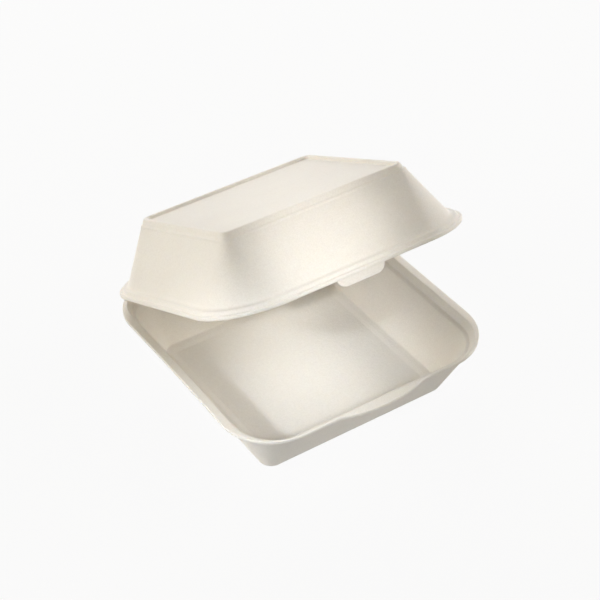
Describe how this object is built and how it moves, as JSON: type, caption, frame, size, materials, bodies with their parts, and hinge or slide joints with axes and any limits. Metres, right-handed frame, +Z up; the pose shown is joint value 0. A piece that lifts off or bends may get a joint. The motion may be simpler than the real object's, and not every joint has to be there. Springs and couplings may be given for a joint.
{
  "type": "foam clamshell container",
  "caption": "Square hinged food box in expanded foam, with tapered walls, stepped rims, a stacking bead on the lid, and a front tongue that tucks into a slit in the base.",
  "frame": {"origin": "middle of the flat underside that the box rests on, under the centre of the square rim", "axes": "+X along the hinge to the right seen from the front, -Y towards the front latch, +Z up"},
  "size_m": [0.152, 0.16, 0.1257],
  "materials": {
    "foam": "matte"
  },
  "bodies": {
    "base": {"base_tray": "foam"},
    "lid": {"lid": "foam"}
  },
  "joints": [
    {"name": "lid_hinge", "type": "hinge", "parent": "base", "child": "lid", "pos_m": [0, 0.0787, 0.03635], "axis": [-1, 0, 0], "range_deg": [-26.5, 153.5]}
  ]
}
